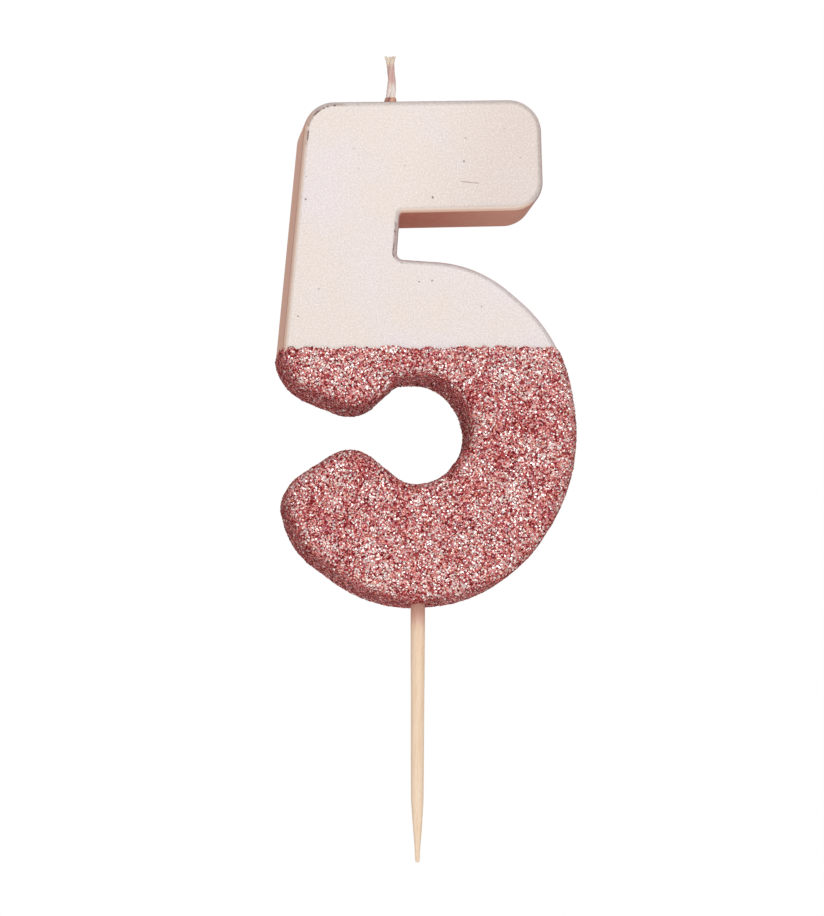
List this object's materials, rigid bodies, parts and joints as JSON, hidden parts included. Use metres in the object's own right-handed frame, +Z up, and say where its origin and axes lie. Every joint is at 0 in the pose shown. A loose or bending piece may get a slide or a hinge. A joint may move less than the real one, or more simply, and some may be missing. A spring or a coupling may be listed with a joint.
{
  "type": "number birthday candle",
  "caption": "Flat cast number candle shaped as a five: pearl lacquered top, glitter-dipped bowl, short wick and a pointed wooden stick to stand it in a cake.",
  "frame": {"origin": "on the stick's axis, 0.25 mm under the lowest glitter of the number, where the stick's exposed wall starts", "axes": "+Z up along the stick to the wick, -Y out of the number's front, +X to the number's right as it is read"},
  "size_m": [0.0461, 0.0138, 0.1252],
  "materials": {
    "wax": "cast wax, smooth and slightly translucent",
    "lacquer": "satin rose gold metallic lacquer with a pearl grain",
    "glue": "clear glue film",
    "glitter": "coarse dusty rose metallic glitter",
    "wick": "twisted cotton, waxed, its top stained pink",
    "stick": "bare pale birch"
  },
  "bodies": {
    "root": {"wax_body": "wax", "lacquer_coat": "lacquer", "glue_coat": "glue", "glitter_coat": "glitter", "wick_yarn_1": "wick", "wick_yarn_2": "wick", "wick_yarn_3": "wick", "stick": "stick"}
  },
  "joints": []
}
